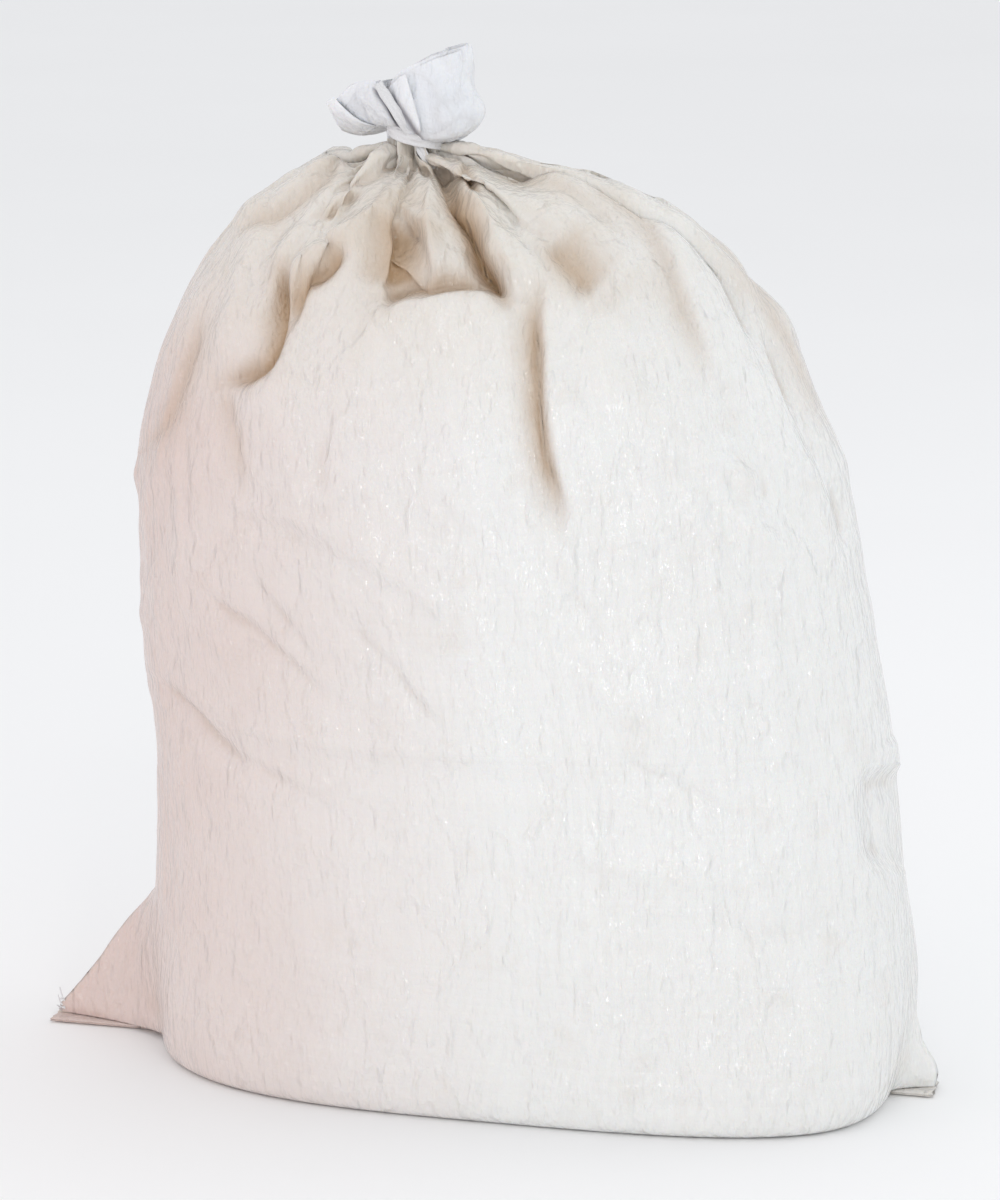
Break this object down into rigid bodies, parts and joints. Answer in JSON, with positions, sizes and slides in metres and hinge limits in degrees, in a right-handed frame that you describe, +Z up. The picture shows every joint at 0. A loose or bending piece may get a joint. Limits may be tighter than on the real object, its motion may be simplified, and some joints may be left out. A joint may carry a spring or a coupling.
{
  "type": "bulk bag",
  "caption": "Filled woven sack for bulk goods, standing upright, with a gathered and tied neck, flared mouth ruffle, stitched bottom hem and folded corner ears.",
  "frame": {"origin": "on the floor at the middle of the bottom hem, which is the bottom centre of the bounding box", "axes": "+Z up, X along the bottom hem from the left ear to the right ear, -Y is the front with the loose end of the tie strip"},
  "size_m": [0.55, 0.2426, 0.6087],
  "materials": {
    "woven_cloth": "laminated woven polypropylene, soft sheen",
    "hem_cloth": "folded woven polypropylene, slightly yellowed",
    "thread": "spun sewing thread",
    "tie_strip": "flat fibrillated polypropylene strip",
    "grain": "loose granular product"
  },
  "bodies": {
    "sack": {"sack_body": "woven_cloth", "contents": "grain", "bottom_hem": "hem_cloth", "bottom_needle_thread": "thread", "bottom_looper_thread": "thread"},
    "left_corner": {"left_ear": "woven_cloth", "left_hem_end": "hem_cloth", "left_needle_thread": "thread", "left_looper_thread": "thread"},
    "right_corner": {"right_ear": "woven_cloth", "right_hem_end": "hem_cloth", "right_needle_thread": "thread", "right_looper_thread": "thread"},
    "neck": {"neck": "woven_cloth"},
    "mouth": {"mouth_ruffle": "woven_cloth", "tie_wraps": "tie_strip", "tie_strand": "tie_strip", "tie_knot": "tie_strip", "tie_tails": "tie_strip"}
  },
  "joints": [
    {"name": "left_ear_swing", "type": "hinge", "parent": "sack", "child": "left_corner", "pos_m": [-0.229, 0, 0], "axis": [0, 0, 1], "range_deg": [-25, 25]},
    {"name": "right_ear_swing", "type": "hinge", "parent": "sack", "child": "right_corner", "pos_m": [0.262, 0, 0], "axis": [0, 0, 1], "range_deg": [-20, 20]},
    {"name": "neck_twist", "type": "hinge", "parent": "sack", "child": "neck", "pos_m": [-0.041, 0, 0.557], "axis": [0, 0, 1], "range_deg": [-30, 30]},
    {"name": "mouth_nod", "type": "hinge", "parent": "neck", "child": "mouth", "pos_m": [-0.041, 0, 0.561], "axis": [1, 0, 0], "range_deg": [-15, 15]}
  ]
}
